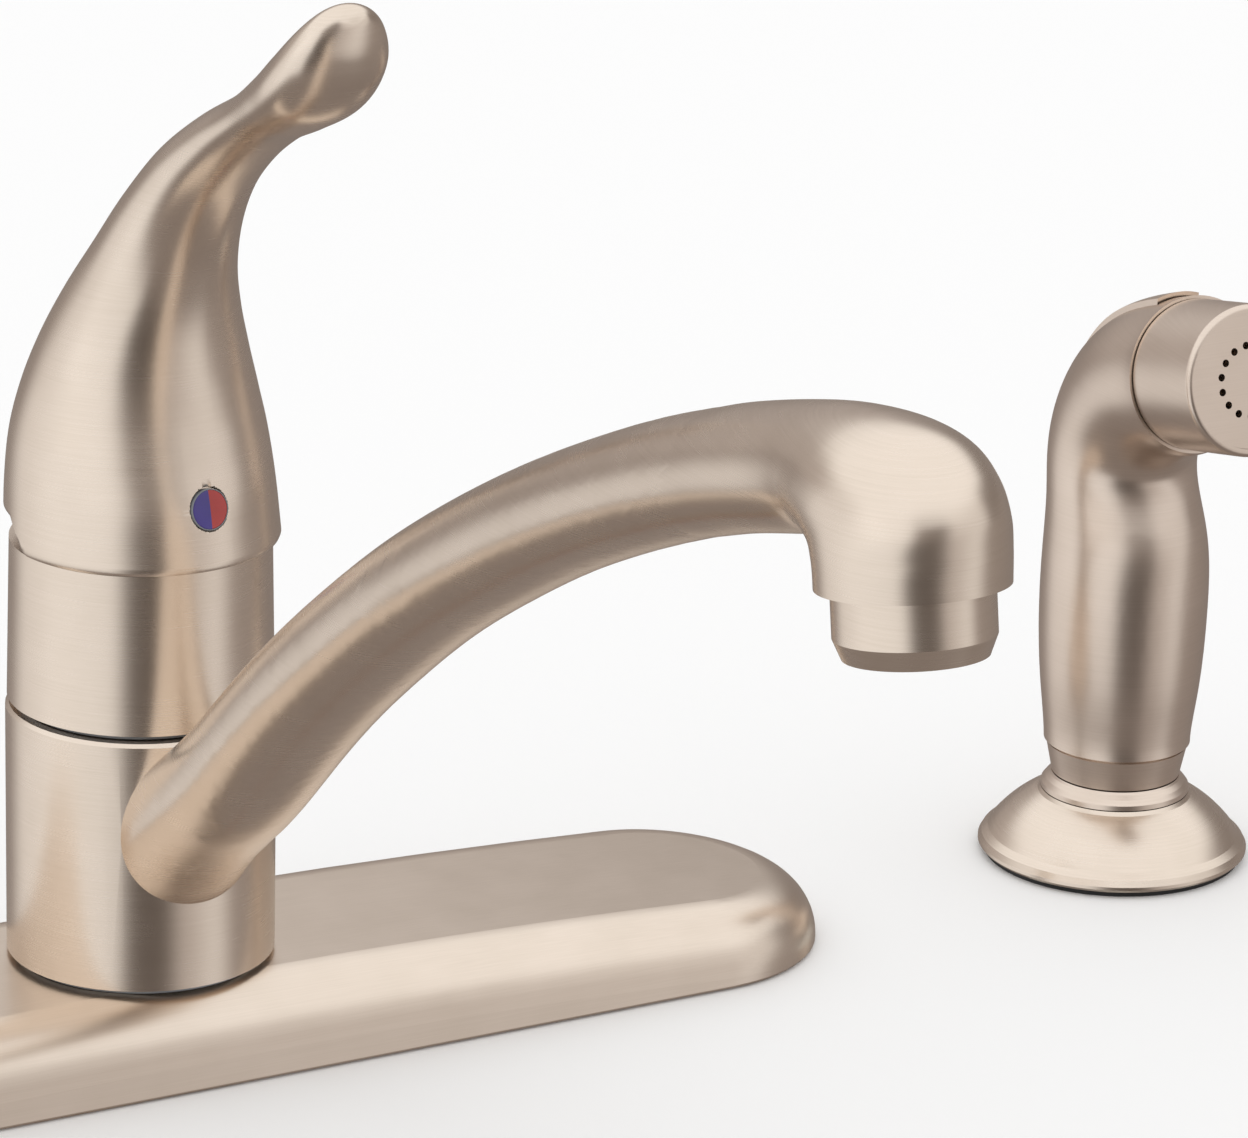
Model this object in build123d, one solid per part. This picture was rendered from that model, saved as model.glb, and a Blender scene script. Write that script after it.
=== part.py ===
"""Side spray kitchen faucet: a single-lever deck faucet with a three-hole deck plate,
a swinging spout and a hand spray in a fourth deck hole.

Millimetres, +Z up. The origin is the axis of the faucet body at the deck surface,
the spout points to -Y and the hand spray stands on +X.
"""
from build123d import *
import os
from math import cos, radians, sin

os.makedirs("parts", exist_ok=True)

# ---- clearances ----------------------------------------------------------------------
running_gap = 0.1       # radial, between a turning or sliding piece and its bore
seal_gap = 0.05         # radial, between an O-ring and the bore it seals
free_gap = 0.3          # between pieces that pass each other without touching
lip_gap = 0.2           # between pieces of one assembly that are stacked
beyond = 1.0            # how far a cutting shape reaches past what it cuts

# ---- deck layout ---------------------------------------------------------------------
hole_pitch = 101.6      # four deck holes, 4 inches apart
spray_x = 2 * hole_pitch
deck_thickness = 6.0    # deck that the nuts below are drawn clamping
gasket_thickness = 1.0

# ---- deck plate ----------------------------------------------------------------------
plate_length = 266.7
plate_width = 58.2
plate_top = 16.5
plate_crown_drop = 5.24  # how much lower the plate's top is at its ends
plate_edge_radius = 11.0
plate_foot_radius = 0.6
plate_lift = 0.25       # the rim stands this far off the deck, on its gasket
rim_lip = 1.0           # width of the rim outside the gasket
plate_wall = 2.6
plate_ceiling = 11.5
plate_inner_radius = 8.5
boss_radius = 9.0
boss_depth = 10.0
centre_boss_wall = 4.0  # round the core, beyond its radius
gasket_inset = 0.05     # of the gasket from the rim's lip

# ---- mounting hardware ---------------------------------------------------------------
stud_radius = 6.0
stud_bottom = -45.0
washer_thickness = 2.0
nut_height = 8.0
wing_span = 34.0
wing_thickness = 5.0
wing_nut_wall = 4.0
wing_drop = 3.0         # how far the wings hang below the nut
wing_step = 2.0         # how far their tops lie under the nut's top
stud_washer_radius = 15.0
shank_radius = 15.0
shank_bore = 12.6
shank_bottom = -38.0
relief_depth = 0.6      # groove that parts a shank's free threaded end from its nut
relief_height = 2.0
big_washer_radius = 24.0
big_nut_radius = 22.0

# ---- supply tubes --------------------------------------------------------------------
tube_radius = 4.76
tube_bore = 3.6
tube_circle = 7.2       # distance of each tube from the body axis
tube_bottom = -70.0
tube_depth = 4.5        # how far a tube sits in the valve body
passage_radius = 3.2
hot_angle = 150.0
cold_angle = 30.0
spray_angle = 270.0

# ---- valve body ----------------------------------------------------------------------
core_radius = 16.5
core_top = 90.0
flange_radius = 19.5
flange_height = 3.0
neck_radius = 13.5
neck_top = 99.8
cartridge_radius = 11.5
cartridge_floor = 36.0
port_z = 46.0
port_radius = 4.0
ring_section = 1.2      # half the thickness of an O-ring
ring_stand = 0.2        # how far an O-ring stands out of its groove
groove_room = 0.1       # above and below an O-ring
ring_lower_z = 26.0
ring_upper_z = 58.0
diverter_radius = 3.9
diverter_seat = 24.0
diverter_rest = 29.0
diverter_length = 5.0
diverter_wall = 1.4
diverter_floor = 1.5
diverter_wire = 0.4
diverter_turns = 4
spring_end_gap = 0.05   # between a spring and its seats

# ---- spout hub and upper sleeve ------------------------------------------------------
hub_radius = 23.5
hub_bottom = 17.4
hub_top = 62.8
hub_edge = 0.6
low_ring_inset = 1.4    # how far the glide rings lie in from the hub's wall
high_ring_inset = 2.4
glide_room = 0.4        # between the lower glide ring and the body's flange
flange_room = 0.5       # between the spout's hub and the body's flange
chamber_radius = 18.7
chamber_bottom = 32.0
chamber_top = 54.0
sleeve_bottom = 64.2
sleeve_top = 92.9
sleeve_low_radius = 23.2
sleeve_high_radius = 22.7
sleeve_wall = 2.2
sleeve_web = 2.5
arm_clearance = 0.7     # between the arm's root and the upper sleeve

# ---- spout arm: reach, height, rise in degrees, half width, half height ---------------
arm_end_back = 2.4      # from the outlet's axis back to the arm's last row
arm_end_above = 10.2    # from the collar's lower edge up to the arm's last row
arm_rows = [
    (15.5, 41.9, 41.0, 13.0, 12.0),
    (36.2, 59.1, 42.0, 12.7, 11.0),
    (54.2, 75.3, 41.0, 12.4, 10.6),
    (72.2, 91.0, 39.0, 12.2, 10.3),
    (89.2, 104.2, 36.5, 12.0, 10.1),
    (105.8, 116.1, 34.0, 11.8, 9.9),
    (130.2, 131.3, 30.0, 11.5, 9.7),
    (148.5, 141.5, 28.0, 11.3, 9.5),
    (167.2, 150.8, 25.0, 11.2, 9.4),
    (188.6, 160.3, 22.6, 11.0, 9.4),
    (207.9, 167.6, 19.0, 10.9, 9.3),
    (224.4, 172.7, 16.0, 10.8, 9.4),
    (238.0, 175.4, 8.0, 11.2, 9.8),
    (249.0, 173.7, -12.0, 11.4, 9.6),
]
waterway_radius = 6.3
outlet_blend = 9.0      # where the arm runs into the outlet's dome

# ---- outlet --------------------------------------------------------------------------
outlet_reach = 251.4
outlet_z = 163.5
outlet_tilt = 8.6
outlet_radius = 13.9
outlet_straight = 8.0
outlet_hollow = 9.0     # radius of the hollow in the dome
aerator_radius = 11.7
aerator_drop = 10.1
aerator_bevel = 3.0     # height of the bevel round the aerator's mouth
aerator_bevel_in = 1.2
aerator_thread = 10.6
aerator_bore = 8.8
aerator_mouth = 8.0
aerator_floor = 1.0     # thickness of the inward lip that carries the screen
aerator_thread_top = 6.0
aerator_washer_height = 2.0
screen_thickness = 0.6
screen_hole = 0.75
screen_rings = ((2.4, 6), (4.8, 12), (7.0, 18))     # radius and number of holes
disc_gap = 0.1          # round and between the aerator's discs
insert_top_edge = 3.0
jet_radius = 0.8
jet_circle = 6.2
jet_count = 10

# ---- cartridge and handle drive ------------------------------------------------------
stem_radius = 5.5
stem_shoulder = 107.0
stem_neck_radius = 3.2
stem_neck_top = 114.0
stem_head_radius = 5.0
stem_top = 116.0
piston_bottom = 52.0
piston_top = 66.0
seal_thickness = 1.0    # of the port seals under the cartridge
seal_outer = 4.2
seal_inner = 3.3
shell_floor = 4.0
shell_wall = 2.5
shell_cap_low = 2.0     # how far the shell's hollow ends below the core's top
piston_gap = 0.4        # between the stem's piston and the shell
cartridge_port = 2.2    # radius of the ports in the cartridge's floor
side_port_less = 0.5    # the shell's side port is this much smaller than the body's
nut_outer = 15.6
nut_slot_count = 6
nut_slot_depth = 1.2
nut_slot_half = 1.5
nut_bottom = 93.0
nut_top = 96.6
clip_z = 97.9
clip_thickness = 1.0
clip_room = 0.1         # above and below the clip in its slots
clip_wall = 1.6
clip_gap = 0.1          # between the clip's ring and the neck
clip_mouth_half = 8.0   # half width of the clip's open side
clip_tab_half = 6.0
clip_tab_depth = 1.1    # how far the clip's tabs reach into the cartridge
clip_slot_reach = 4.0   # half depth of the neck's slots
adapter_radius = 17.8
adapter_wall = 1.6
adapter_skirt_bottom = 95.0
adapter_bottom = 100.0
adapter_top = 101.6
pivot_y = 12.0
pivot_z = 106.0
pivot_pin_radius = 1.75
ear_inner = 5.6
ear_outer = 8.4
ear_radius = 3.0
arm_inner = 8.8
arm_outer = 11.8
block_front = -12.0
block_rear = 15.0
block_bottom = 103.8
block_top = 112.0
fork_bottom = 109.6
fork_top = 111.4
fork_front = -6.0
fork_behind = 1.0       # how far the fork reaches behind the pin
fork_gap = 0.6          # between the fork and the stem's neck
bridge_thickness = 3.0
bridge_low = 102.4
bridge_high = 110.0

# ---- lever handle: depth, height, forward lean in degrees, half width, half depth -----
handle_turn = 6.0       # the handle rests this far to the spray's side of the spout
handle_rows = [
    (-0.5, 93.4, 0.0, 23.9, 23.89),
    (0.3, 103.0, 0.5, 23.4, 23.0),
    (0.8, 111.8, 2.0, 22.6, 21.0),
    (0.5, 119.7, 4.5, 20.9, 18.8),
    (-0.9, 127.8, 8.0, 18.5, 16.4),
    (-3.5, 135.9, 12.5, 15.7, 14.0),
    (-7.5, 144.4, 18.0, 12.9, 11.6),
    (-13.1, 153.9, 25.5, 10.9, 9.3),
    (-20.7, 163.1, 34.0, 9.4, 7.6),
    (-30.2, 170.8, 42.5, 8.4, 6.2),
    (-40.2, 177.0, 50.0, 8.4, 5.3),
    (-48.8, 182.1, 56.0, 9.6, 6.1),
    (-55.5, 186.7, 60.0, 10.5, 6.9),
    (-60.2, 191.5, 61.5, 9.8, 6.5),
    (-63.2, 196.0, 62.0, 7.4, 4.9),
    (-65.0, 199.2, 62.0, 3.4, 2.0),
]
handle_wall = 2.3
hollow_row_count = 7    # rows of the lever that are hollow
joint_row_index = 9     # row where the lever's two lofts meet
notch_front = -0.5
notch_slope = 5.0
notch_height = 5.0
skirt_run_on = 2.0      # how far the lever's hollow is drawn on below its rim
rib_gap = 0.2           # between a rib and the block's arm
rib_thickness = 2.5
rib_top = 136.0
button_z = 103.8
button_radius = 3.3
button_depth = 2.4
button_set_back = 0.3   # of the button's face from the lever's front
button_boss = 4.5
screw_gap = 0.2         # between the set screw and the button
marker_radius = 3.2
marker_thickness = 0.6
screw_radius = 1.5

# ---- spray guide in the deck ---------------------------------------------------------
guide_radius = 25.4
guide_rim = 2.2
guide_top = 12.9
guide_neck = 14.0
guide_corner = 0.6      # of the flange's lower and upper edges
guide_step = 2.2        # height of the flange's rounded edge above its rim
guide_step_in = 1.8
guide_cone_low = 0.5    # how far out the cone ends from the neck
guide_cone_drop = 0.7
guide_cone_swell = 0.5  # how far the cone bulges at its middle
guide_shank = 14.0
guide_bore = 11.6
guide_bottom = -30.0
guide_nut_radius = 19.0
insert_top = 16.1
insert_bore = 11.2
insert_mouth = 12.1
insert_fit = 0.05       # radial, between the liner and the guide's bore
guide_gasket_in = 1.2   # of the gasket from the flange's edge
guide_washer_radius = 21.4

# ---- hand spray: depth, height, forward lean in degrees, radius -----------------------
grip_rows = [
    (0.0, 22.8, 0.0, 13.8),
    (0.0, 31.0, 0.0, 14.6),
    (0.0, 41.0, 0.0, 15.5),
    (0.0, 51.0, 0.0, 15.8),
    (0.2, 61.0, 0.0, 15.5),
    (1.6, 70.5, 5.0, 14.5),
    (2.7, 79.0, 17.0, 14.1),
    (0.8, 85.9, 32.0, 14.1),
    (-3.7, 92.0, 47.0, 14.3),
    (-11.4, 97.0, 64.0, 14.4),
    (-20.3, 100.4, 77.5, 14.5),
]
grip_wall = 2.2
base_ring_bottom = 16.4
base_ring_top = 22.2
base_ring_low = 12.1
base_ring_high = 13.3
coupling_radius = 8.8
coupling_bottom = -14.0
coupling_top = 28.0
coupling_bore = 4.5
coupling_shoulder = 4.0     # height where the coupling gets thinner
coupling_step = 1.8
hose_washer_height = 1.6
ring_spigot_in = 0.9        # the base ring's spigot is this much smaller than its top
foot_wall_top = 30.0        # height of the solid foot that holds the coupling
nozzle_length = 18.5
nozzle_radius = 13.9
nozzle_wall = 1.5
nozzle_lip = 1.0
nozzle_seam = 0.3       # between the nozzle and the grip
nozzle_floor = 4.0
nozzle_throat = 6.0
face_recess = 0.4
face_thickness = 2.4
face_fit = 0.05         # radial, between the face and its cap
face_hole_count = 15
face_hole_circle = 6.5
face_hole_radius = 0.7
trigger_half_width = 4.5
trigger_proud = 1.0
trigger_depth = 1.5
trigger_pin_y = -9.5
trigger_pin_z = 108.4
trigger_pin_radius = 1.2
trigger_lug = 2.8
trigger_lug_half = 2.0      # half depth of the lug above the pin
trigger_ear = 3.0           # half depth of the ears, and their width
trigger_pin_end = 2.0       # how far the pin's ends sit in the ears
finger_thickness = 3.0
finger_rear = 17.0
trigger_foot_z = 73.0
band_foot_y = 9.0           # the trigger's foot starts this far back
band_inner = ((6.0, 84.0), (0.0, 96.0))     # depth and height inside the grip's bend
trigger_travel = 1.7    # room left under the trigger for its swing
valve_y = 4.0
valve_seat = 50.0
valve_spring_top = 66.0
valve_head_top = 76.0
valve_stem_radius = 2.0
valve_head_radius = 3.6
valve_housing_wall = 3.4
valve_housing_low = 4.0     # how far the housing reaches below the seat
valve_housing_high = 10.0
valve_bore_gap = 1.0        # round the valve's head in its housing
valve_feed_drop = 8.0       # how far the hose's bore ends below the seat
valve_lift = 1.5            # of the stem's foot from the seat
valve_wire = 0.45
valve_turns = 7
web_half = 2.0              # half thickness of the housing's web and of the finger
over_head = 120.0           # a height above the whole hand spray


# ---- helpers -------------------------------------------------------------------------
UP = (Align.CENTER, Align.CENTER, Align.MIN)


def rod(radius, bottom, top, x=0, y=0):
    """Upright cylinder between two heights."""
    return Pos(x, y, bottom) * Cylinder(radius, top - bottom, align=UP)


def tube(outer, inner, bottom, top, x=0, y=0):
    """Upright pipe between two heights."""
    return rod(outer, bottom, top, x, y) - rod(inner, bottom - 1, top + 1, x, y)


def cross_rod(radius, left, right, y, z):
    """Cylinder along X."""
    return Pos(left, y, z) * Rot(0, 90, 0) * Cylinder(radius, right - left, align=UP)


def forward_rod(radius, front, rear, x, z):
    """Cylinder along Y."""
    return Pos(x, rear, z) * Rot(90, 0, 0) * Cylinder(radius, rear - front, align=UP)


def block(x0, x1, y0, y1, z0, z1):
    """Box between two corners."""
    return Pos(x0, y0, z0) * Box(x1 - x0, y1 - y0, z1 - z0, align=(Align.MIN,) * 3)


def turned(points, x=0):
    """Solid of revolution about a vertical axis, from (radius, height) points."""
    outline = Plane.XZ * make_face(Polyline(*points, close=True))
    return Pos(x, 0, 0) * revolve(outline, Axis.Z)


def hexagon(across, bottom, top, x=0, y=0):
    """Upright hexagonal bar."""
    bar = extrude(RegularPolygon(across / 2, 6, major_radius=False), top - bottom)
    return Pos(x, y, bottom) * bar


def on_circle(radius, angle):
    """Point at an angle round the body axis."""
    return radius * cos(radians(angle)), radius * sin(radians(angle))


def lean(y, z, tilt):
    """Section plane whose normal leans forward, to -Y, by a tilt in degrees."""
    normal = (0, -sin(radians(tilt)), cos(radians(tilt)))
    return Plane(origin=(0, y, z), x_dir=(1, 0, 0), z_dir=normal)


def skin(rows, inset=0.0):
    """Loft through leaning elliptical sections, drawn in by an inset."""
    sections = []
    for y, z, tilt, half_width, half_depth in rows:
        sections.append(lean(y, z, tilt) * Ellipse(half_width - inset, half_depth - inset))
    return loft(sections)


def save(name, shape):
    """Write one sub-part."""
    export_step(shape, f"parts/{name}.step")


# ---- deck plate and what holds it ----------------------------------------------------
def stadium(length, width):
    """Flat slot shape with round ends."""
    return SlotOverall(length, width)


def crown_radius():
    """Radius that lowers the plate's top by plate_crown_drop at its ends."""
    half = plate_length / 2
    return (half ** 2 + plate_crown_drop ** 2) / (2 * plate_crown_drop)


def deck_plate():
    """Crowned cover with a large rounded edge, hollow below, bosses for two studs."""
    body = Pos(0, 0, plate_lift) * extrude(stadium(plate_length, plate_width), plate_top)
    crown = Pos(0, 0, plate_top - crown_radius()) * Rot(90, 0, 0)
    body &= crown * Cylinder(crown_radius(), 2 * plate_width)
    rim = body.faces().sort_by(Axis.Z)[-1].edges()
    body = fillet(rim, plate_edge_radius)
    foot = body.faces().sort_by(Axis.Z)[0].edges()
    body = fillet(foot, plate_foot_radius)
    inside = stadium(plate_length - 2 * plate_wall, plate_width - 2 * plate_wall)
    hollow = Pos(0, 0, gasket_thickness) * extrude(inside, plate_ceiling - gasket_thickness)
    hollow = fillet(hollow.faces().sort_by(Axis.Z)[-1].edges(), plate_inner_radius)
    body -= hollow
    recess = stadium(plate_length - 2 * rim_lip, plate_width - 2 * rim_lip)
    body -= extrude(recess, gasket_thickness)
    for side in (-1, 1):
        x = side * hole_pitch
        body += rod(boss_radius, gasket_thickness, plate_ceiling + beyond, x)
        body -= rod(stud_radius, gasket_thickness - beyond, boss_depth, x)
    body += rod(core_radius + centre_boss_wall, gasket_thickness, plate_ceiling + beyond)
    body -= rod(shank_radius + lip_gap, 0, plate_top + beyond)
    return body


def deck_gasket():
    """Thin seal under the plate's rim."""
    outset = 2 * (rim_lip + gasket_inset)
    outer = stadium(plate_length - outset, plate_width - outset)
    inset = 2 * (plate_wall + free_gap)
    inner = stadium(plate_length - inset, plate_width - inset)
    return extrude(outer, gasket_thickness) - extrude(inner, gasket_thickness)


def mounting_studs():
    """Two threaded studs that stand in the plate's bosses."""
    return Part() + [rod(stud_radius, stud_bottom, boss_depth, s * hole_pitch) for s in (-1, 1)]


def stud_washers():
    """Two wide washers below the deck."""
    low = -deck_thickness - washer_thickness
    return Part() + [
        tube(stud_washer_radius, stud_radius + lip_gap, low, -deck_thickness, s * hole_pitch)
        for s in (-1, 1)
    ]


def stud_wing_nuts():
    """Nuts with two wings, turned up by hand from below the deck."""
    top = -deck_thickness - washer_thickness
    low = top - nut_height
    nuts = Part()
    for side in (-1, 1):
        x = side * hole_pitch
        nut = rod(stud_radius + wing_nut_wall, low, top, x)
        half = wing_span / 2
        thick = wing_thickness / 2
        nut += block(x - half, x + half, -thick, thick, low - wing_drop, top - wing_step)
        nut -= rod(stud_radius, low - wing_drop - beyond, top + beyond, x)
        nuts += nut
    return nuts


def nut_bottom_height():
    """Lower face of the nuts that clamp the deck."""
    return -deck_thickness - washer_thickness - nut_height


def shank_washer():
    """Washer between the deck and the body's nut."""
    low = -deck_thickness - washer_thickness
    return tube(big_washer_radius, shank_radius + lip_gap, low, -deck_thickness)


def shank_nut():
    """Large nut that clamps the body to the deck."""
    low = nut_bottom_height()
    top = low + nut_height
    return hexagon(2 * big_nut_radius, low, top) - rod(shank_radius, low - beyond, top + beyond)


# ---- valve body and water tubes ------------------------------------------------------
def supply_tube(angle):
    """Pipe from below the deck into the valve body."""
    x, y = on_circle(tube_circle, angle)
    return tube(tube_radius, tube_bore, tube_bottom, plate_top + tube_depth, x, y)


def ring_groove(z):
    """Groove in the core for one O-ring."""
    half = ring_section + groove_room
    depth = 2 * ring_section - ring_stand
    return tube(core_radius + beyond, core_radius - depth, z - half, z + half)


def o_ring(z):
    """Round seal that reaches the spout's bore."""
    centre = core_radius + free_gap - seal_gap - ring_section
    return Pos(0, 0, z) * Torus(centre, ring_section)


def valve_body():
    """Shank, base flange, core and threaded neck in one casting."""
    body = rod(shank_radius, shank_bottom, plate_top)
    low = nut_bottom_height()
    body -= tube(shank_radius + beyond, shank_radius - relief_depth, low - relief_height, low)
    body += rod(flange_radius, plate_top, plate_top + flange_height)
    body += rod(core_radius, plate_top, core_top)
    body += rod(neck_radius, core_top, neck_top)
    body -= rod(shank_bore, shank_bottom - beyond, plate_top)
    body -= rod(cartridge_radius + running_gap, cartridge_floor, neck_top + beyond)
    for angle in (hot_angle, cold_angle, spray_angle):
        x, y = on_circle(tube_circle, angle)
        body -= rod(tube_radius, plate_top - beyond, plate_top + tube_depth, x, y)
        body -= rod(passage_radius, plate_top, cartridge_floor + beyond, x, y)
    x, y = on_circle(tube_circle, spray_angle)
    body -= rod(diverter_radius + running_gap, diverter_seat, cartridge_floor + beyond, x, y)
    body -= forward_rod(port_radius, -core_radius - beyond, 0, 0, port_z)
    body -= ring_groove(ring_lower_z)
    body -= ring_groove(ring_upper_z)
    half = clip_tab_half + lip_gap
    low = clip_z - clip_room
    high = clip_z + clip_thickness + clip_room
    for side in (-1, 1):
        middle = side * neck_radius
        left, right = middle - clip_slot_reach, middle + clip_slot_reach
        body -= block(left, right, -half, half, low, high)
    return body


def diverter_piston():
    """Shuttle that sends water to the hand spray while its trigger is pressed."""
    x, y = on_circle(tube_circle, spray_angle)
    top = diverter_rest + diverter_length
    body = rod(diverter_radius, diverter_rest, top, x, y)
    hollow = rod(diverter_radius - diverter_wall, diverter_rest + diverter_floor, top + beyond, x, y)
    return body - hollow


def coil(radius, wire, bottom, top, turns, x=0, y=0):
    """Compression spring drawn as a stack of rings joined by a thin bar."""
    spring = Part()
    pitch = (top - bottom - 2 * wire) / (turns - 1)
    for turn in range(turns):
        z = bottom + wire + turn * pitch
        spring += Pos(x, y, z) * Torus(radius - wire, wire)
    bar = wire * 0.8
    edge = radius - wire
    spring += block(x + edge - bar, x + edge + bar, y - bar, y + bar, bottom + wire, top - wire)
    return spring


def diverter_spring():
    """Spring that lifts the diverter's shuttle."""
    x, y = on_circle(tube_circle, spray_angle)
    low = diverter_seat + spring_end_gap
    high = diverter_rest - spring_end_gap
    return coil(diverter_radius - running_gap, diverter_wire, low, high, diverter_turns, x, y)


def lower_glide_ring():
    """Washer that the spout's hub turns on."""
    outer = hub_radius - low_ring_inset
    return tube(outer, flange_radius + glide_room, plate_top, hub_bottom - lip_gap)


def upper_glide_ring():
    """Washer between the spout's hub and the upper sleeve."""
    outer = hub_radius - high_ring_inset
    return tube(outer, core_radius + lip_gap, hub_top + lip_gap, sleeve_bottom)


def upper_sleeve():
    """Fixed tapered cover between the spout hub and the handle."""
    rise = sleeve_top - sleeve_bottom
    lower = Pos(0, 0, sleeve_bottom) * Circle(sleeve_low_radius)
    upper = Pos(0, 0, sleeve_top) * Circle(sleeve_high_radius)
    body = loft([lower, upper])
    inner = sleeve_high_radius - sleeve_wall
    body -= rod(inner, sleeve_bottom + sleeve_web, sleeve_bottom + rise - sleeve_web)
    body -= rod(core_radius, sleeve_bottom - beyond, core_top)
    body -= rod(neck_radius + lip_gap, core_top - beyond, sleeve_top + beyond)
    return body


# ---- cartridge -----------------------------------------------------------------------
def cartridge_shell():
    """Plastic cartridge barrel with ports below and a stem guide above."""
    bottom = cartridge_floor + seal_thickness
    hollow_top = core_top - shell_cap_low
    body = rod(cartridge_radius, bottom, neck_top - lip_gap)
    body -= rod(cartridge_radius - shell_wall, bottom + shell_floor, hollow_top)
    body -= rod(stem_radius + running_gap, hollow_top - beyond, neck_top + beyond)
    for angle in (hot_angle, cold_angle, spray_angle):
        x, y = on_circle(tube_circle, angle)
        body -= rod(cartridge_port, bottom - beyond, bottom + shell_floor + beyond, x, y)
    body -= forward_rod(port_radius - side_port_less, -cartridge_radius - beyond, 0, 0, port_z)
    groove = cartridge_radius - clip_tab_depth - clip_gap
    high = clip_z + clip_thickness + clip_room
    body -= tube(cartridge_radius + beyond, groove, clip_z - clip_room, high)
    return body


def cartridge_seals():
    """Three small port seals on the cartridge floor."""
    seals = Part()
    for angle in (hot_angle, cold_angle, spray_angle):
        x, y = on_circle(tube_circle, angle)
        seals += tube(seal_outer, seal_inner, cartridge_floor, cartridge_floor + seal_thickness, x, y)
    return seals


def cartridge_clip():
    """Spring clip whose two tabs lock the cartridge in the neck."""
    top = clip_z + clip_thickness
    near = neck_radius + clip_gap
    far = near + clip_wall
    half = clip_mouth_half
    ring = tube(far, near, clip_z, top)
    ring -= block(-half, half, -far - beyond, -half, clip_z - beyond, top + beyond)
    inner = cartridge_radius - clip_tab_depth
    for side in (-1, 1):
        left, right = sorted((side * inner, side * (near + clip_wall / 2)))
        ring += block(left, right, -clip_tab_half, clip_tab_half, clip_z, top)
    return ring


def retaining_nut():
    """Round slotted nut that holds the upper sleeve down."""
    nut = tube(nut_outer, neck_radius, nut_bottom, nut_top)
    low, high = nut_bottom - beyond, nut_top + beyond
    near = nut_outer - nut_slot_depth
    tool = block(near, nut_outer + beyond, -nut_slot_half, nut_slot_half, low, high)
    for slot in range(nut_slot_count):
        nut -= Rot(0, 0, 360 * slot / nut_slot_count) * tool
    return nut


def cartridge_stem():
    """Stem that turns for temperature and rises for flow."""
    body = rod(cartridge_radius - shell_wall - piston_gap, piston_bottom, piston_top)
    body += rod(stem_radius, piston_top, stem_shoulder)
    body += rod(stem_neck_radius, stem_shoulder, stem_neck_top)
    body += rod(stem_head_radius, stem_neck_top, stem_top)
    return body


# ---- handle --------------------------------------------------------------------------
def rest_turn(shape):
    """Turn a handle piece from straight ahead to where it rests."""
    return Rot(0, 0, handle_turn) * shape


def handle_adapter():
    """Cap that turns on the neck, with two ears for the handle's pin."""
    body = rod(adapter_radius, adapter_skirt_bottom, adapter_top)
    body -= rod(adapter_radius - adapter_wall, adapter_skirt_bottom - beyond, adapter_bottom)
    body -= rod(stem_radius + free_gap, adapter_bottom - beyond, adapter_top + beyond)
    for side in (-1, 1):
        left, right = sorted((side * ear_inner, side * ear_outer))
        body += cross_rod(ear_radius, left, right, pivot_y, pivot_z)
        body += block(left, right, pivot_y - ear_radius, pivot_y + ear_radius, adapter_bottom, pivot_z)
    return body - cross_rod(pivot_pin_radius, -adapter_radius, adapter_radius, pivot_y, pivot_z)


def handle_pivot_pin():
    """Pin that the lever tips on, through both ears and both arms."""
    return cross_rod(pivot_pin_radius, -arm_outer, arm_outer, pivot_y, pivot_z)


def handle_block():
    """Frame inside the lever: arms on the pin, fork on the stem, bridge in front."""
    body = Part()
    for side in (-1, 1):
        left, right = sorted((side * arm_inner, side * arm_outer))
        body += block(left, right, block_front, block_rear, block_bottom, block_top)
    wide = arm_outer
    bridge_rear = block_front + bridge_thickness
    body += block(-wide, wide, block_front, bridge_rear, bridge_low, bridge_high)
    fork = block(-wide, wide, fork_front, pivot_y + fork_behind, fork_bottom, fork_top)
    slot = stem_neck_radius + fork_gap
    low, high = fork_bottom - beyond, fork_top + beyond
    body += fork - block(-slot, slot, fork_front - beyond, slot + beyond, low, high)
    return body - cross_rod(pivot_pin_radius + running_gap, -wide - beyond, wide + beyond, pivot_y, pivot_z)


def lever_front():
    """A depth in front of the whole lever's skirt."""
    return 2 * button_face()


def button_bore():
    """Hole in the lever's front for the button."""
    return forward_rod(button_radius, lever_front(), button_face() + button_depth, 0, button_z)


def button_face():
    """Depth of the lever's front surface at the button."""
    return handle_rows[0][0] - handle_rows[0][4] + button_set_back


def lever_handle():
    """Hollow lever: a round skirt that narrows into a leaning paddle."""
    outer = skin(handle_rows[:joint_row_index + 1]) + skin(handle_rows[joint_row_index:])
    first = handle_rows[0]
    low_row = (first[0], first[1] - skirt_run_on, *first[2:])
    body = outer - skin([low_row] + handle_rows[:hollow_row_count], handle_wall)
    for side in (-1, 1):
        near = arm_outer + rib_gap
        left, right = sorted((side * near, side * (near + rib_thickness)))
        rib = block(left, right, block_front - beyond, pivot_y + beyond, block_bottom, rib_top)
        body += rib & outer
    boss = forward_rod(button_boss, lever_front(), -adapter_radius - 2 * free_gap, 0, button_z)
    body += boss & outer
    bottom = first[1]
    rear = first[0] + 2 * first[4]
    low = bottom - notch_height
    notch = Plane.YZ * make_face(Polyline(
        (notch_front, low), (notch_front, bottom),
        (notch_front + notch_slope, bottom + notch_height),
        (rear, bottom + notch_height), (rear, low), close=True))
    body -= Pos(-rear, 0, 0) * extrude(notch, 2 * rear)
    body -= forward_rod(screw_radius, lever_front(), 0, 0, button_z) & outer
    return body - button_bore()


def handle_set_screw():
    """Screw behind the button that presses the lever onto its block."""
    front = button_face() + button_depth + screw_gap
    return forward_rod(screw_radius, front, block_front, 0, button_z)


def temperature_button():
    """Plug in the lever's front, recessed for its two coloured halves."""
    face = button_face()
    return forward_rod(button_radius, face + marker_thickness, face + button_depth, 0, button_z)


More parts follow.
